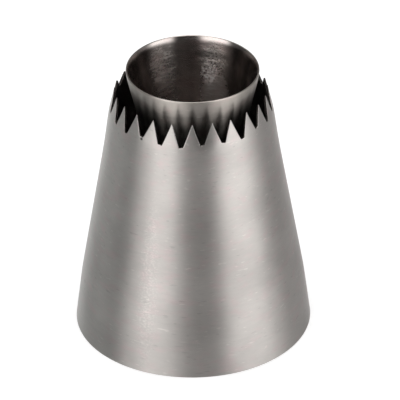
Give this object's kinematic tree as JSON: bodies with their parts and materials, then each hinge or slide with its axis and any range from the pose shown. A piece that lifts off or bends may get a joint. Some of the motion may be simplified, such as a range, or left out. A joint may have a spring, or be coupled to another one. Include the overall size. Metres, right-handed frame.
{
  "type": "piping nozzle",
  "caption": "Crown ring piping nozzle: a tapered steel shell with a toothed mouth around a raised inner cone, for piping fluted rings.",
  "frame": {"origin": "centre of the base ring, on the surface the nozzle stands on", "axes": "+Z along the shell's axis from the base to the teeth, -Y towards the side the picture was taken from, where a tooth faces the camera"},
  "size_m": [0.05, 0.05, 0.0601],
  "materials": {
    "shell_steel": "stainless steel, brushed around the axis, satin",
    "cone_steel": "stainless steel, finely brushed around the axis, darker inside",
    "cap_steel": "stainless steel, pressed, satin",
    "strip_steel": "stainless steel strip, mill finish",
    "weld_metal": "stainless weld metal, rippled, lightly straw coloured"
  },
  "bodies": {
    "root": {"outer_shell": "shell_steel", "inner_cone": "cone_steel", "cone_end_cap": "cap_steel", "cap_weld": "weld_metal", "bridge_1": "strip_steel", "bridge_2": "strip_steel", "bridge_3": "strip_steel", "shell_welds": "weld_metal", "cone_welds": "weld_metal"}
  },
  "joints": []
}
